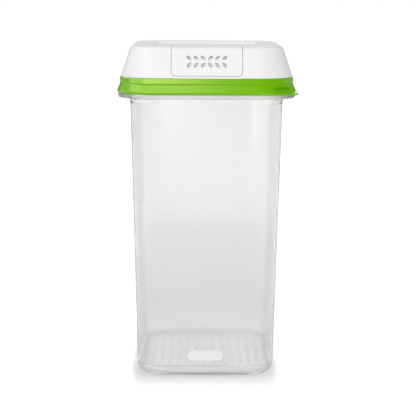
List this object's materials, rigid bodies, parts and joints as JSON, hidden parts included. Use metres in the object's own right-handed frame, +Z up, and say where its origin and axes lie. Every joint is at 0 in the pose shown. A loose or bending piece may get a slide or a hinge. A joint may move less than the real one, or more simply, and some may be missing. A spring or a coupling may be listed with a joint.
{
  "type": "produce keeper",
  "caption": "Tall square produce keeper: clear tapered tub, slotted tray on its floor, white domed lid with a front vent and a soft skirt with a pull tab.",
  "frame": {"origin": "centre of the tub's base, on the surface it stands on", "axes": "+Z up; the front, with the vent cover, faces -Y; the pull tab is at the front right corner, towards +X and -Y"},
  "size_m": [0.1441, 0.1441, 0.271],
  "materials": {
    "clear_plastic": "clear moulded plastic, slightly hazy",
    "tray_plastic": "frosted translucent polypropylene",
    "white_plastic": "satin white moulded polypropylene",
    "green_elastomer": "soft satin lime green elastomer",
    "cover_plastic": "satin white moulded polypropylene",
    "membrane": "fine non-woven breathable sheet",
    "frame_plastic": "moulded polypropylene"
  },
  "bodies": {
    "tub": {"tub": "clear_plastic"},
    "lid": {"lid_shell": "white_plastic", "lid_skirt": "green_elastomer", "vent_cover": "cover_plastic", "vent_membrane": "membrane", "membrane_frame": "frame_plastic"},
    "tray": {"crisper_tray": "tray_plastic"}
  },
  "joints": [
    {"name": "lid_lift", "type": "slide", "parent": "tub", "child": "lid", "axis": [0, 0, 1], "range_m": [0, 0.3]},
    {"name": "tray_lift", "type": "slide", "parent": "tub", "child": "tray", "axis": [0, 0, 1], "range_m": [0, 0.22]}
  ]
}
